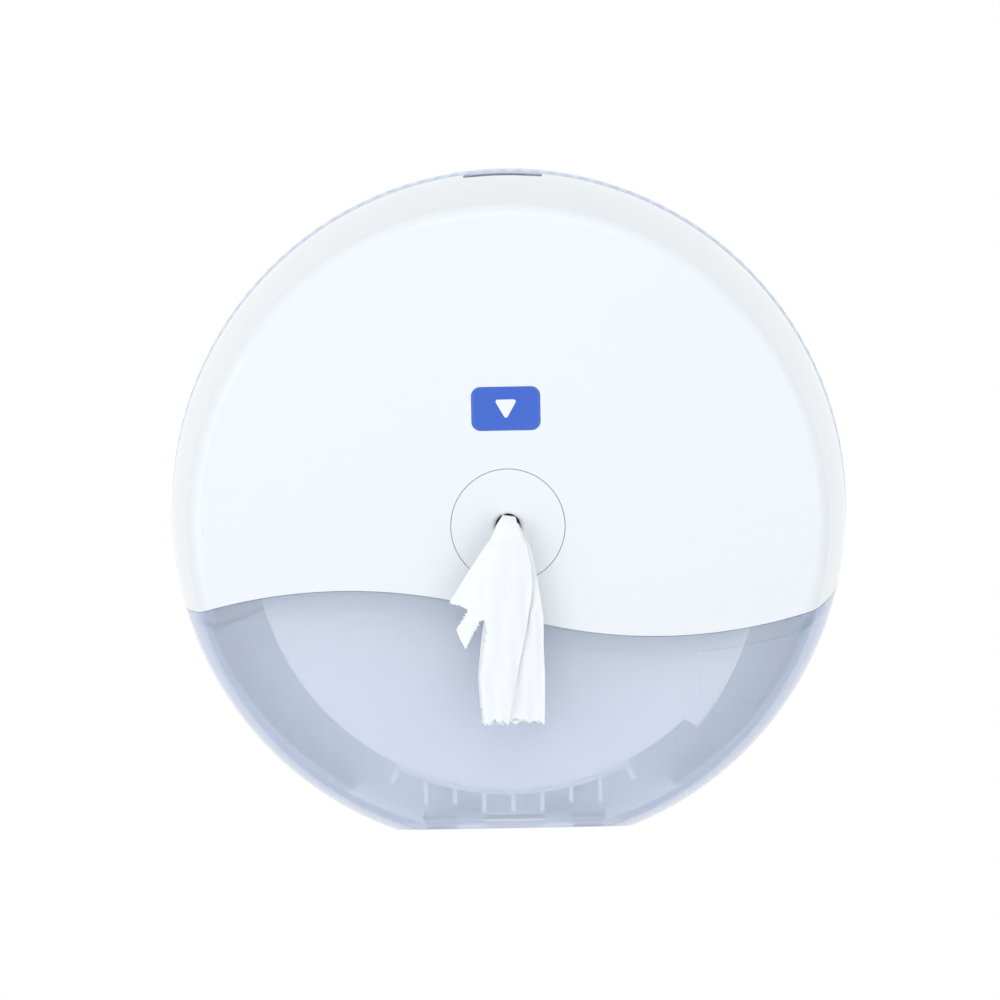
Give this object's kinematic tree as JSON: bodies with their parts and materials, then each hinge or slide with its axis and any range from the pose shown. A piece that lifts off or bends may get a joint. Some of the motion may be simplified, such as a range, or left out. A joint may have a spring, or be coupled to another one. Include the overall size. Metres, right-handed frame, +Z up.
{
  "type": "centrefeed toilet paper dispenser",
  "caption": "Round wall-mounted centrefeed toilet paper dispenser: white domed cover with smoked lower window, turning nozzle, key lock, hinged at the bottom, with its roll.",
  "frame": {"origin": "centre of the four wall-screw holes, on the wall plane and on the axis of the round body", "axes": "+X to the right seen from the front, +Y into the wall, +Z up"},
  "size_m": [0.275, 0.1473, 0.2695],
  "materials": {
    "white_plastic": "gloss",
    "smoked_window": "gloss",
    "grey_plastic": "satin",
    "lock_grey": "satin",
    "steel": "satin",
    "paper": "matte"
  },
  "bodies": {
    "housing": {"back_plate": "grey_plastic", "roll_cradle": "grey_plastic", "cradle_screws": "steel", "hinge_rod": "steel", "rod_clips": "steel", "toilet_roll": "paper", "paper_strand": "paper"},
    "cover": {"cover_shell": "white_plastic", "cover_window": "smoked_window", "window_screws": "steel", "nozzle_ring": "white_plastic", "nozzle_screws": "steel", "lock_housing": "lock_grey", "lock_retainer": "lock_grey", "lock_screws": "steel", "paper_tail": "paper"},
    "lock": {"lock_slider": "white_plastic"},
    "nozzle": {"nozzle_disc": "white_plastic", "nozzle_funnel": "white_plastic"}
  },
  "joints": [
    {"name": "cover_hinge", "type": "hinge", "parent": "housing", "child": "cover", "pos_m": [0, -0.009, -0.1274], "axis": [1, 0, 0], "range_deg": [0, 90]},
    {"name": "lock_slide", "type": "slide", "parent": "cover", "child": "lock", "axis": [1, 0, 0], "range_m": [0, 0.008]},
    {"name": "nozzle_turn", "type": "hinge", "parent": "cover", "child": "nozzle", "pos_m": [0, -0.135, 0], "axis": [0, 1, 0], "range_deg": [0, 30]}
  ]
}
